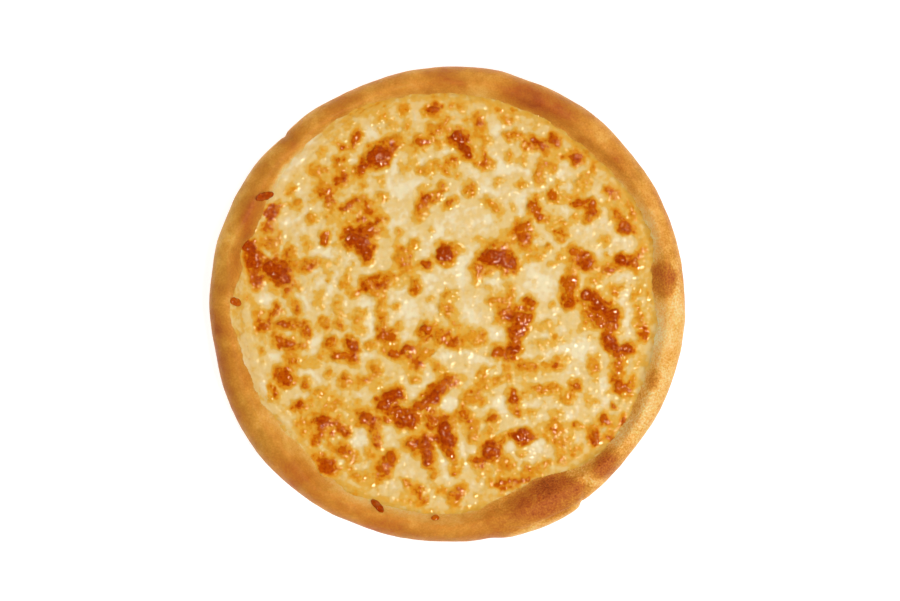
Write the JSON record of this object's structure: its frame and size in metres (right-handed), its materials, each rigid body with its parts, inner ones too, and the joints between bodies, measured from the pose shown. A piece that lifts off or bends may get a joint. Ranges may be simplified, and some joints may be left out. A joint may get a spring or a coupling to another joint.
{
  "type": "kashar cheese pide",
  "caption": "Round baked flatbread with a raised, uneven golden rim, its dished middle filled with melted, browned cheese.",
  "frame": {"origin": "middle of the flat underside, below the middle of the bounding box", "axes": "+Z up through the loaf, +X to the right and +Y up in the straight-down picture"},
  "size_m": [0.2596, 0.259, 0.0221],
  "materials": {
    "crust": "baked bread crust, golden with toasted patches, satin to matt",
    "melted_cheese": "melted cheese, cream to golden with glossy red-brown blisters"
  },
  "bodies": {
    "root": {"bread": "crust", "cheese": "melted_cheese"}
  },
  "joints": []
}
